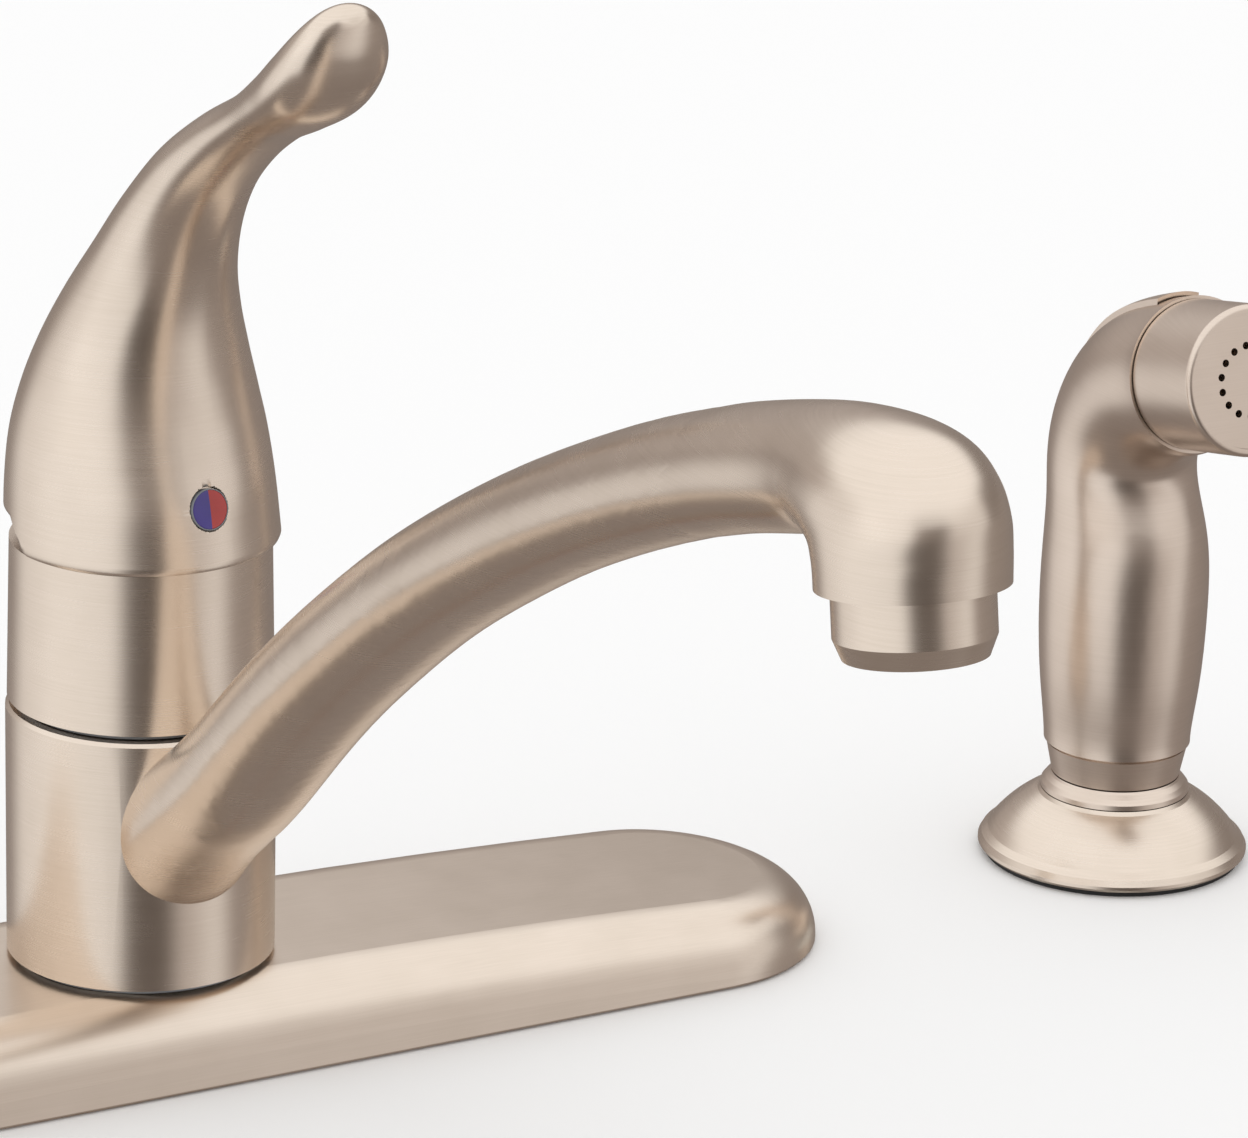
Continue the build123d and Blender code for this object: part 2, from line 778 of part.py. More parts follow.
def marker(side):
    """Half disc on the button: cold on -X, hot on +X."""
    face = button_face()
    disc = forward_rod(marker_radius, face, face + marker_thickness, 0, button_z)
    reach = 2 * marker_radius
    left, right = sorted((0, side * reach))
    return disc & block(left, right, lever_front(), 0, button_z - reach, button_z + reach)


# ---- spout ---------------------------------------------------------------------------
def at_outlet(shape):
    """Place a shape on the outlet's axis, its zero at the collar's lower edge."""
    return Pos(0, -outlet_reach, outlet_z) * Rot(-outlet_tilt, 0, 0) * shape


def arm_course():
    """The arm's rows, stretched so that the last one meets the outlet."""
    root, end = arm_rows[0], arm_rows[-1]
    along = (outlet_reach - arm_end_back - root[0]) / (end[0] - root[0])
    upward = (outlet_z + arm_end_above - root[1]) / (end[1] - root[1])
    return [
        (root[0] + (reach - root[0]) * along, root[1] + (z - root[1]) * upward, *rest)
        for reach, z, *rest in arm_rows
    ]


def arm_section(row, half_width, half_height):
    """One upright ellipse across the arm."""
    reach, z, rise = row[:3]
    normal = (0, -cos(radians(rise)), sin(radians(rise)))
    plane = Plane(origin=(0, -reach, z), x_dir=(1, 0, 0), z_dir=normal)
    return plane * Ellipse(half_width, half_height)


def spout():
    """Hub, rising arm and domed outlet, hollow for water."""
    hub = rod(hub_radius, hub_bottom, hub_top)
    hub = chamfer(hub.faces().sort_by(Axis.Z)[-1].edges(), hub_edge)
    arm = loft([arm_section(row, row[3], row[4]) for row in arm_course()])
    dome = rod(outlet_radius, 0, outlet_straight)
    dome += Pos(0, 0, outlet_straight) * Sphere(outlet_radius)
    dome = at_outlet(dome - rod(3 * outlet_radius, -2 * outlet_radius, 0))
    arm = fillet(new_edges(arm, dome, combined=arm + dome), outlet_blend)
    arm -= rod(sleeve_low_radius + arm_clearance, hub_top, sleeve_top)
    body = hub + arm
    bore = core_radius + free_gap
    body -= rod(bore, hub_bottom - beyond, hub_top + beyond)
    flange_top = plate_top + flange_height
    body -= rod(flange_radius + flange_room, hub_bottom - beyond, flange_top + flange_room)
    body -= rod(chamber_radius, chamber_bottom, chamber_top)
    nearly = waterway_radius - 0.01
    body -= loft([arm_section(row, waterway_radius, nearly) for row in arm_course()])
    top = outlet_straight + beyond
    cavity = rod(aerator_thread, -beyond, top)
    cavity += Pos(0, 0, top) * Sphere(outlet_hollow)
    return body - at_outlet(cavity)


def aerator_housing():
    """Screw-in ring that holds the aerator in the outlet."""
    body = turned([
        (0, -aerator_drop), (aerator_radius - aerator_bevel_in, -aerator_drop),
        (aerator_radius, aerator_bevel - aerator_drop), (aerator_radius, 0), (0, 0),
    ])
    body += rod(aerator_thread, 0, aerator_thread_top)
    body -= rod(aerator_bore, aerator_floor - aerator_drop, aerator_thread_top + beyond)
    body -= rod(aerator_mouth, -aerator_drop - beyond, 0)
    return at_outlet(body)


def aerator_screen():
    """Perforated disc at the mouth."""
    low = aerator_floor - aerator_drop
    high = low + screen_thickness
    body = rod(aerator_bore - disc_gap, low, high)
    for ring, count in screen_rings:
        for hole in range(count):
            x, y = on_circle(ring, 360 * hole / count)
            body -= rod(screen_hole, low - beyond, high + beyond, x, y)
    return at_outlet(body)


def aerator_insert():
    """Jet block above the screen."""
    low = aerator_floor - aerator_drop + screen_thickness + disc_gap
    body = rod(aerator_bore - disc_gap, low, insert_top_edge)
    for hole in range(jet_count):
        x, y = on_circle(jet_circle, 360 * hole / jet_count)
        body -= rod(jet_radius, low - beyond, insert_top_edge + beyond, x, y)
    return at_outlet(body)


def aerator_washer():
    """Seal that the aerator is screwed up against."""
    top = aerator_thread_top + aerator_washer_height
    return at_outlet(tube(aerator_thread - disc_gap, aerator_mouth, aerator_thread_top, top))


# ---- spray guide ---------------------------------------------------------------------
def spray_guide():
    """Flared flange with a threaded shank through the fourth deck hole."""
    low = gasket_thickness
    corner = guide_corner
    upper = guide_rim + guide_step
    cone_foot = (guide_radius - guide_step_in, upper)
    cone_head = (guide_neck + guide_cone_low, guide_top - guide_cone_drop)
    middle = tuple((a + b) / 2 + guide_cone_swell for a, b in zip(cone_foot, cone_head))
    wall = Polyline(
        cone_head, (guide_neck, guide_top), (guide_bore, guide_top),
        (guide_bore, guide_bottom), (guide_shank, guide_bottom), (guide_shank, low),
        (guide_radius - corner, low), (guide_radius, low + corner), (guide_radius, guide_rim),
        (guide_radius - corner, guide_rim + guide_step / 2), cone_foot,
    )
    cone = ThreePointArc(cone_foot, middle, cone_head)
    body = revolve(Plane.XZ * make_face([wall, cone]), Axis.Z)
    nut = nut_bottom_height()
    body -= tube(guide_shank + beyond, guide_shank - relief_depth, nut - relief_height, nut)
    return Pos(spray_x, 0, 0) * body


def guide_insert():
    """Plastic liner with a flared lip that the hand spray stands in."""
    rise = insert_top - guide_top - lip_gap
    base = guide_top + lip_gap
    outline = [
        (insert_bore, 0), (guide_bore - insert_fit, 0), (guide_bore - insert_fit, base),
        (guide_neck, base), (guide_neck - 0.1, base + 0.3 * rise),
        (guide_neck - 0.8, base + 0.6 * rise), (insert_mouth + 0.3, insert_top - 0.4),
        (insert_mouth, insert_top), (insert_bore, insert_top),
    ]
    return turned(outline, spray_x)


def guide_gasket():
    """Seal between the guide's flange and the deck."""
    outer = guide_radius - guide_gasket_in
    return tube(outer, guide_shank + lip_gap, 0, gasket_thickness, spray_x)


def guide_washer():
    """Washer between the deck and the guide's nut."""
    low = -deck_thickness - washer_thickness
    return tube(guide_washer_radius, guide_shank + lip_gap, low, -deck_thickness, spray_x)


def guide_nut():
    """Nut that clamps the guide to the deck."""
    low = nut_bottom_height()
    top = low + nut_height
    bore = rod(guide_shank, low - beyond, top + beyond, spray_x)
    return hexagon(2 * guide_nut_radius, low, top, spray_x) - bore


# ---- hand spray ----------------------------------------------------------------------
def at_spray(shape):
    """Place a shape on the hand spray's axis."""
    return Pos(spray_x, 0, 0) * shape


def at_nozzle(shape):
    """Place a shape on the nozzle's axis, its zero at the seam with the grip."""
    y, z, tilt = grip_rows[-1][:3]
    return Pos(spray_x, y, z) * Rot(tilt, 0, 0) * shape


def grip_skin(offset):
    """Outer shape of the grip and head, grown or drawn in by an offset."""
    return loft([lean(y, z, tilt) * Circle(r + offset) for y, z, tilt, r in grip_rows])


def trigger_band(half_width, extra_top, extra_foot):
    """Slab along the back of the head, from over the pin down to the thumb end."""
    front = trigger_pin_y - trigger_ear - extra_top
    foot = trigger_foot_z - extra_foot
    rear = 3 * grip_rows[0][3]
    outline = Plane.YZ * make_face(Polyline(
        (front, trigger_pin_z - trigger_ear - beyond), (front - beyond, over_head),
        (rear, over_head), (rear, foot), (band_foot_y, foot), *band_inner, close=True))
    return Pos(-half_width, 0, 0) * extrude(outline, 2 * half_width)


def spray_grip():
    """Hollow grip and head with the slot that the trigger moves in."""
    outer = grip_skin(0)
    first = grip_rows[0]
    inner = loft([lean(y, z, t) * Circle(r - grip_wall) for y, z, t, r in grip_rows[1:]])
    body = outer - inner
    body += rod(first[3], first[1], foot_wall_top) & outer
    housing_low = valve_seat - valve_housing_low
    housing = valve_head_radius + valve_housing_wall
    body += rod(housing, housing_low, valve_seat + valve_housing_high, 0, valve_y)
    wide = grip_rows[3][3]
    body += block(-web_half, web_half, -wide, wide, housing_low, valve_seat) & outer
    body -= rod(valve_head_radius + valve_bore_gap, valve_seat, valve_head_top, 0, valve_y)
    body -= rod(coupling_radius, first[1] - beyond, coupling_top)
    body -= rod(coupling_bore, first[1], valve_seat - valve_feed_drop)
    slot = grip_skin(2 * trigger_proud) - grip_skin(-grip_wall - beyond)
    body -= slot & trigger_band(trigger_half_width + free_gap, 0.4, trigger_travel)
    for side in (-1, 1):
        near = side * (trigger_half_width + free_gap)
        left, right = sorted((near, near + side * trigger_ear))
        front, rear = trigger_pin_y - trigger_ear, trigger_pin_y + trigger_ear
        body += block(left, right, front, rear, trigger_pin_z - trigger_ear, over_head) & outer
    end = trigger_half_width + free_gap + trigger_pin_end + lip_gap
    body -= cross_rod(trigger_pin_radius, -end, end, trigger_pin_y, trigger_pin_z)
    return at_spray(body)


def spray_trigger():
    """Thumb lever laid along the back of the head."""
    shell = grip_skin(trigger_proud) - grip_skin(-trigger_depth)
    body = shell & trigger_band(trigger_half_width, 0, 0)
    half = trigger_half_width
    lug = cross_rod(trigger_lug, -half, half, trigger_pin_y, trigger_pin_z)
    front, rear = trigger_pin_y - trigger_lug_half, trigger_pin_y + trigger_lug_half
    lug += block(-half, half, front, rear, trigger_pin_z, over_head)
    body += lug & grip_skin(-trigger_proud)
    low = valve_head_top + free_gap
    high = low + finger_thickness
    body += block(-web_half, web_half, valve_y - beyond, finger_rear, low, high) & grip_skin(0)
    end = half + beyond
    body -= cross_rod(trigger_pin_radius + running_gap, -end, end, trigger_pin_y, trigger_pin_z)
    return at_spray(body)


def trigger_pin():
    """Pin that the trigger swings on."""
    half = trigger_half_width + free_gap + trigger_pin_end
    return at_spray(cross_rod(trigger_pin_radius, -half, half, trigger_pin_y, trigger_pin_z))


def spray_valve_stem():
    """Plunger that the trigger's finger presses down."""
    body = rod(valve_stem_radius, valve_seat + valve_lift, valve_head_top, 0, valve_y)
    body += rod(valve_head_radius, valve_spring_top + lip_gap, valve_head_top, 0, valve_y)
    return at_spray(body)


def spray_valve_spring():
    """Spring that closes the valve."""
    low = valve_seat + 2 * spring_end_gap
    radius = valve_head_radius
    return at_spray(coil(radius, valve_wire, low, valve_spring_top, valve_turns, 0, valve_y))


def spray_base_ring():
    """Tapered plastic ring that closes the grip's foot."""
    low = Pos(0, 0, base_ring_bottom) * Circle(base_ring_low)
    high = Pos(0, 0, base_ring_top) * Circle(base_ring_high)
    body = loft([low, high])
    body += rod(base_ring_high - ring_spigot_in, base_ring_top, grip_rows[0][1])
    return at_spray(body - rod(coupling_radius, base_ring_bottom - beyond, foot_wall_top))


def hose_coupling():
    """Threaded nipple that the spray hose screws onto."""
    thin = coupling_radius - coupling_step
    body = rod(coupling_radius, coupling_shoulder, coupling_top)
    body += rod(thin, coupling_bottom, coupling_shoulder)
    return at_spray(body - rod(coupling_bore, coupling_bottom - beyond, coupling_top + beyond))


def hose_washer():
    """Seal between the coupling and its hose."""
    outer = coupling_radius - coupling_step - lip_gap
    low = coupling_bottom - hose_washer_height
    return at_spray(tube(outer, coupling_bore, low, coupling_bottom))


def spray_nozzle():
    """Cap that screws onto the head and holds the spray face."""
    body = rod(nozzle_radius, nozzle_seam, nozzle_length)
    body = fillet(body.faces().sort_by(Axis.Z)[-1].edges(), nozzle_lip)
    body -= rod(nozzle_radius - nozzle_wall, nozzle_floor, nozzle_length + beyond)
    body -= rod(nozzle_throat, 0, nozzle_floor + beyond)
    return at_nozzle(body)


def spray_face():
    """Perforated disc in the nozzle cap."""
    top = nozzle_length - face_recess
    low = top - face_thickness
    body = rod(nozzle_radius - nozzle_wall - face_fit, low, top)
    for hole in range(face_hole_count):
        x, y = on_circle(face_hole_circle, 360 * hole / face_hole_count)
        body -= rod(face_hole_radius, low - beyond, top + beyond, x, y)
    return at_nozzle(body)


# ---- write every sub-part ------------------------------------------------------------
save("deck_plate", deck_plate())
save("deck_gasket", deck_gasket())
save("mounting_studs", mounting_studs())
save("stud_washers", stud_washers())
save("stud_wing_nuts", stud_wing_nuts())
save("shank_washer", shank_washer())
save("shank_nut", shank_nut())
save("valve_body", valve_body())
save("hot_supply_tube", supply_tube(hot_angle))
save("cold_supply_tube", supply_tube(cold_angle))
save("spray_supply_tube", supply_tube(spray_angle))
save("spout_lower_o_ring", o_ring(ring_lower_z))
save("spout_upper_o_ring", o_ring(ring_upper_z))
save("diverter_piston", diverter_piston())
save("diverter_spring", diverter_spring())
save("lower_glide_ring", lower_glide_ring())
save("upper_glide_ring", upper_glide_ring())
save("upper_sleeve", upper_sleeve())
save("cartridge_shell", cartridge_shell())
save("cartridge_seals", cartridge_seals())
save("cartridge_clip", cartridge_clip())
save("retaining_nut", retaining_nut())
save("cartridge_stem", cartridge_stem())
save("handle_adapter", rest_turn(handle_adapter()))
save("handle_pivot_pin", rest_turn(handle_pivot_pin()))
save("handle_block", rest_turn(handle_block()))
save("lever_handle", rest_turn(lever_handle()))
save("handle_set_screw", rest_turn(handle_set_screw()))
save("temperature_button", rest_turn(temperature_button()))
save("cold_marker", rest_turn(marker(-1)))
save("hot_marker", rest_turn(marker(1)))
save("spout", spout())
save("aerator_housing", aerator_housing())
save("aerator_screen", aerator_screen())
save("aerator_insert", aerator_insert())
save("aerator_washer", aerator_washer())
save("spray_guide", spray_guide())
save("guide_insert", guide_insert())
save("guide_gasket", guide_gasket())
save("guide_washer", guide_washer())
save("guide_nut", guide_nut())
save("spray_base_ring", spray_base_ring())
save("spray_grip", spray_grip())
save("spray_trigger", spray_trigger())
save("trigger_pin", trigger_pin())
save("spray_valve_stem", spray_valve_stem())
save("spray_valve_spring", spray_valve_spring())
save("hose_coupling", hose_coupling())
save("hose_washer", hose_washer())
save("spray_nozzle", spray_nozzle())
save("spray_face", spray_face())
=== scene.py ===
"""Side spray kitchen faucet: finishes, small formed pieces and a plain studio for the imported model.

Run as a script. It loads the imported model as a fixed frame, gives every piece its finish, makes
the pieces that need finer form than the model holds, and sets a pale deck, soft light and the
camera. Places are in the model's own frame, with the deck's top face at z = 0 and the spout along
-Y. The rows of the forms are in millimetres.
"""

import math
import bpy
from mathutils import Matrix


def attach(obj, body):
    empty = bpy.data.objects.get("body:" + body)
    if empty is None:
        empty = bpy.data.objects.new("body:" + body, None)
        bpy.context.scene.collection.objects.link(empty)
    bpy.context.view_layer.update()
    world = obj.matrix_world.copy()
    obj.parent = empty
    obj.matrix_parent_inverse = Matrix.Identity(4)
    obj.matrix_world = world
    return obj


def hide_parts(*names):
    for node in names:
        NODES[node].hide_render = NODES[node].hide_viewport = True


bl_info = {
    "name": "Side spray faucet dressing",
    "version": (1, 0, 0),
    "blender": (4, 5, 0),
    "location": "3D View > Sidebar > Faucet",
    "description": "Finishes, formed pieces and studio for a kitchen faucet with a side spray",
    "category": "Object",
}

import bpy
import numpy as np
from bpy.props import FloatProperty, FloatVectorProperty, PointerProperty
from mathutils import Matrix, Vector

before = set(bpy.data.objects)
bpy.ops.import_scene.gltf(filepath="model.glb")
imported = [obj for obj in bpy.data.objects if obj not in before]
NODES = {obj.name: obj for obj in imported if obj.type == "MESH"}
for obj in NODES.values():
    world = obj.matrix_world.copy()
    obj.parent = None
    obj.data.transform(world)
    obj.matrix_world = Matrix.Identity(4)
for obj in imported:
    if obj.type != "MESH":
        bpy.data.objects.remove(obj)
MM = 0.001


def colour(code):
    """Linear red, green, blue and alpha of an sRGB hex code."""
    parts = [int(code[i : i + 2], 16) / 255 for i in (1, 3, 5)]
    linear = [p / 12.92 if p <= 0.04045 else ((p + 0.055) / 1.055) ** 2.4 for p in parts]
    return (*linear, 1.0)


def add(tree, kind, values=None, links=None, stops=None, curve="LINEAR", **settings):
    """Adds one node. settings are its properties and values its sockets' numbers.

    links are its sockets' feeds, each an output, or a node that stands for its first output.
    stops are a colour ramp's (position, colour) pairs, joined by curve.
    """
    node = tree.nodes.new(kind)
    for name, value in settings.items():
        setattr(node, name, value)
    for name, value in (values or {}).items():
        node.inputs[name].default_value = value
    for name, source in (links or {}).items():
        output = source.outputs[0] if isinstance(source, bpy.types.Node) else source
        tree.links.new(output, node.inputs[name])
    if stops:
        band = node.color_ramp
        band.interpolation = curve
        while len(band.elements) < len(stops):
            band.elements.new(0.5)
        for element, (position, value) in zip(band.elements, stops):
            element.position = position
            element.color = value
    return node


def new_material(name):
    """An empty material with its tree, its output and the object's own coordinates."""
    material = bpy.data.materials.new(name)
    material.use_nodes = True
    tree = material.node_tree
    tree.nodes.clear()
    place = add(tree, "ShaderNodeTexCoord").outputs["Object"]
    return material, tree, place


def close_material(tree, shader):
    """Ends a tree in its surface."""
    add(tree, "ShaderNodeOutputMaterial", links={"Surface": shader})


def surface(tree, tone, tones, wear, roughness, swing, height, depth, look):
    """Ends a material's tree in one surface.

    tone runs through tones from 0 to 1, wear shifts the roughness by swing to both sides, and
    height from 0 to 1 stands for depth in metres. look holds the surface's other numbers.
    """
    base = add(tree, "ShaderNodeValToRGB", links={"Fac": tone}, stops=tones)
    rough = add(
        tree,
        "ShaderNodeMapRange",
        values={"To Min": roughness - swing, "To Max": roughness + swing},
        links={"Value": wear},
    )
    relief = add(
        tree,
        "ShaderNodeBump",
        values={"Strength": 1.0, "Distance": depth},
        links={"Height": height},
    )
    shader = add(
        tree,
        "ShaderNodeBsdfPrincipled",
        values=look,
        links={"Base Color": base, "Roughness": rough, "Normal": relief},
    )
    close_material(tree, shader)


# The length of a brush line along X, Y and Z, in millimetres. The belt leaves lines about 0.1 mm
# apart. They are drawn 0.25 mm apart, the finest that shows.
LINES_ROUND = (20, 20, 0.25)
LINES_ALONG_X = (20, 0.25, 0.25)
LINE_DEPTH = 0.002 * MM
CLOUD_SIZE = 1 / 90  # metres, of the slow change of tone in the satin


def brushed_nickel(name, base, shade, lines_run, roughness):
    """Satin brushed nickel over brass: a warm pale metal with fine even brush lines.

    base and shade are its lightest and darkest tone, linear, and lines_run how its lines lie.
    The lines are noise drawn out along them. The lines and a slow cloud, half each, shift the
    tone and the roughness a little.
    """
    material, tree, place = new_material(name)
    drawn = add(
        tree,
        "ShaderNodeMapping",
        values={"Scale": [1 / (length * MM) for length in lines_run]},
        links={"Vector": place},
    )
    lines = add(
        tree,
        "ShaderNodeTexNoise",
        values={"Scale": 1.0, "Detail": 2.0, "Roughness": 0.6},
        links={"Vector": drawn},
    )
    cloud = add(
        tree,
        "ShaderNodeTexNoise",
        values={"Scale": 1 / CLOUD_SIZE, "Detail": 2.0},
        links={"Vector": place},
    )
    both = add(tree, "ShaderNodeMath", links={0: lines, 1: cloud}, operation="ADD")
    half = add(tree, "ShaderNodeMath", values={1: 0.5}, links={0: both}, operation="MULTIPLY")
    tones = [(0.3, shade), (0.7, base)]
    surface(tree, half, tones, half, roughness, 0.02, lines, LINE_DEPTH, {"Metallic": 1.0})
    return material


def plain_metal(name, base, shade, roughness, speck_size, depth):
    """A machined, cast or plated metal: two near tones in fine specks, sizes in metres."""
    material, tree, place = new_material(name)
    speck = add(
        tree,
        "ShaderNodeTexNoise",
        values={"Scale": 1 / speck_size, "Detail": 4.0},
        links={"Vector": place},
    )
    tones = [(0.35, colour(shade)), (0.65, colour(base))]
    surface(tree, speck, tones, speck, roughness, 0.06, speck, depth, {"Metallic": 1.0})
    return material


PLASTIC_IOR = 1.49
TONE_SIZE = 1 / 120  # metres, of the slow change of tone in a moulded piece


def moulded(name, base, shade, roughness, speck_size, depth, gloss=0.5, coat=0.0):
    """A moulded plastic, rubber or enamel: a fine even surface with a slow change of tone."""
    material, tree, place = new_material(name)
    fine = add(
        tree,
        "ShaderNodeTexNoise",
        values={"Scale": 1 / speck_size, "Detail": 2.0},
        links={"Vector": place},
    )
    slow = add(
        tree,
        "ShaderNodeTexNoise",
        values={"Scale": 1 / TONE_SIZE, "Detail": 1.0},
        links={"Vector": place},
    )
    tones = [(0.3, colour(shade)), (0.7, colour(base))]
    look = {"IOR": PLASTIC_IOR, "Specular IOR Level": gloss, "Coat Weight": coat}
    surface(tree, slow, tones, fine, roughness, 0.05, fine, depth, look)
    return material


# By the record's slot: name, colour, shade, roughness, speck size and depth.
METALS = {
    # Bright yellow, with the fine grain that turning leaves.
    "brass_casting": ("machined_brass", "#D9B978", "#C7A560", 0.3, 0.5 * MM, 0.004 * MM),
    # Red brown and drawn smooth, with soft blotches where it has dulled.
    "copper_tube": ("drawn_copper", "#D98F6C", "#C47A58", 0.28, 1.5 * MM, 0.003 * MM),
    # Dull grey and slightly rough, as it leaves the die.
    "zinc_casting": ("zinc_casting", "#B4B4B8", "#9C9CA2", 0.45, 0.6 * MM, 0.02 * MM),
    # Cool and even, with the faint spangle of a zinc bath.
    "plated_steel": ("zinc_plated_steel", "#C6C8CB", "#AEB2B8", 0.32, 0.8 * MM, 0.004 * MM),
    # Neutral and shiny, as drawn wire and stamped clips are.
    "stainless_steel": ("stainless_spring_steel", "#C9C6C1", "#B5B2AD", 0.2, 0.4 * MM, 0.002 * MM),
}
# The same, then gloss and clear coat where they differ from plain plastic.
MOULDINGS = {
    # Milky white with a soft sheen.
    "white_plastic": ("white_acetal", "#ECEBE4", "#E2E0D8", 0.38, 0.3 * MM, 0.006 * MM),
    # Mid grey and matt, with the fibres' fine grain.
    "grey_plastic": ("grey_glass_filled_nylon", "#84878B", "#75787C", 0.45, 0.25 * MM, 0.01 * MM),
    # Near black and dull, with a fine tooth.
    "black_rubber": ("black_rubber", "#262627", "#1B1B1C", 0.6, 0.2 * MM, 0.012 * MM, 0.4),
    # Deep blue violet under a clear glossy coat.
    "blue_enamel": ("blue_enamel", "#3E2F86", "#31256F", 0.2, 0.3 * MM, 0.002 * MM, 0.5, 0.6),
    # Deep red under the same coat.
    "red_enamel": ("red_enamel", "#AE2F2B", "#932420", 0.2, 0.3 * MM, 0.002 * MM, 0.5, 0.6),
}
PLATE_ROUGHER = 0.03  # the long plate's brushing is a little duller than the turned pieces'
# The coat on the hand spray's plastic is a touch darker and softer than the castings.
COAT_ROUGHER = 0.04
COAT_LIGHT = "#E5D6C9"
COAT_SHADE = "#DCCDBF"


def dress(material, *nodes):
    """Puts one finish on CAD nodes."""
    for name in nodes:
        for holder in NODES[name].material_slots:
            holder.material = material


def course(rows, at):
    """Rows of sizes as a smooth curve, read at the fractional row numbers at.

    It is a cubic through the rows. Each span takes its end slopes from the rows on both sides.
    """
    rows = np.asarray(rows, float)
    padded = np.concatenate([[2 * rows[0] - rows[1]], rows, [2 * rows[-1] - rows[-2]]])
    span = np.clip(np.floor(at).astype(int), 0, len(rows) - 2)
    t = (at - span)[..., None]
    a, b, c, d = (padded[span + step] for step in range(4))
    return b + 0.5 * t * (c - a + t * (2 * a - 5 * b + 4 * c - d + t * (3 * (b - c) + d - a)))


def close_shell(name, grid, first, last, sharp=40.0):
    """A closed mesh from a grid of points, rows by columns round it, and a pole at either end.

    The grid's columns run on round the piece and its rows from the first pole to the last.
    Edges that turn by more than sharp degrees stay crisp.
    """
    rows, columns = grid.shape[:2]
    points = np.concatenate([grid.reshape(-1, 3), [first], [last]])
    index = np.arange(rows * columns).reshape(rows, columns)
    beside = np.roll(index, -1, axis=1)
    quads = np.stack([index[:-1], beside[:-1], beside[1:], index[1:]], -1).reshape(-1, 4)
    first_pole = np.full(columns, rows * columns)
    first_fan = np.stack([first_pole, beside[0], index[0]], -1)
    last_fan = np.stack([first_pole + 1, index[-1], beside[-1]], -1)
    faces = quads.tolist() + first_fan.tolist() + last_fan.tolist()
    mesh = bpy.data.meshes.new(name)
    mesh.from_pydata(points.tolist(), [], faces)
    mesh.polygons.foreach_set("use_smooth", np.ones(len(mesh.polygons), bool))
    mesh.set_sharp_from_angle(angle=math.radians(sharp))
    mesh.update()
    piece = bpy.data.objects.new(name, mesh)
    bpy.context.scene.collection.objects.link(piece)
    return piece


LEVER_ROWS = [
    (-0.5, 93.4, 0.0, 23.9, 23.9),
    (0.3, 103.0, 0.5, 23.4, 23.0),
    (0.8, 111.8, 2.0, 22.6, 21.0),
    (0.5, 119.7, 4.5, 20.9, 18.8),
    (-0.9, 127.8, 8.0, 18.5, 16.4),
    (-3.5, 135.9, 12.5, 15.7, 14.0),
    (-7.5, 144.4, 18.0, 12.9, 11.6),
    (-13.1, 153.9, 25.5, 10.9, 9.3),
    (-20.7, 163.1, 34.0, 9.4, 7.6),
    (-30.2, 170.8, 42.5, 8.4, 6.2),
    (-40.2, 177.0, 50.0, 8.4, 5.3),
    (-48.8, 182.1, 56.0, 9.6, 6.1),
    (-55.5, 186.7, 60.0, 10.5, 6.9),
    (-60.2, 191.5, 61.5, 9.8, 6.5),
    (-63.2, 196.0, 62.0, 7.4, 4.9),
    (-64.9, 199.0, 62.0, 3.6, 2.3),
]
LEVER_TIP = (-65.2, 199.5, 62.0, 0.0, 0.0)
LEVER_TURN = 6.0  # degrees to the spray's side of the spout at rest
HOLLOW_ROW = 6  # where the lever's hollow ends
NOTCH_FRONT = -0.5  # the skirt's rim steps up behind this depth
NOTCH_HEIGHT = 5.0
NOTCH_FADE_ROW = 2  # above this row the notch shifts no row of the mesh
RIM_ROW = 0.06  # where the rim's rounding ends
RIM_ROUND = 0.3
FINE_ROWS = (0.66, 1.52)  # rows that cross the button
FINE_ROW_STEP = 0.018
FINE_ANGLES = (-99.5, -80.4)  # degrees that cross the button, and the rest round
FINE_ANGLE_STEP = 0.4
WIDE_ANGLES = (-80.0, 260.0)
WIDE_COLUMNS = 118
INNER_STEPS = 30
LOW_STEPS = 8
LONG_STEPS = 150
TIP_STEPS = 9
TIP_SPAN = 0.1  # how much of the last span the tip's fine rows take
BUTTON_HEIGHT = 103.8
WELL_DEPTH = 1.2
WELL_EDGE = 0.25
WELL_REACH = -15.0  # the well is sunk only in front of this depth


def at_rest(points):
    """Points of the lever, drawn straight ahead, turned to where the lever rests, in metres."""
    turn = math.radians(LEVER_TURN)
    along, over = math.cos(turn), math.sin(turn)
    return points @ np.array([[along, over, 0], [-over, along, 0], [0, 0, 1]]) * MM


def lever_steps():
    """Row numbers of the lever's outside: fine past the button and towards the tip."""
    last = len(LEVER_ROWS)
    low = np.linspace(RIM_ROW, FINE_ROWS[0] - 0.02, LOW_STEPS)
    fine = np.arange(*FINE_ROWS, FINE_ROW_STEP)
    long = np.linspace(FINE_ROWS[1] + 0.02, last - TIP_SPAN, LONG_STEPS)
    tip = last - TIP_SPAN * np.linspace(0.9, 0.05, TIP_STEPS) ** 2
    return np.concatenate([low, fine, long, tip])


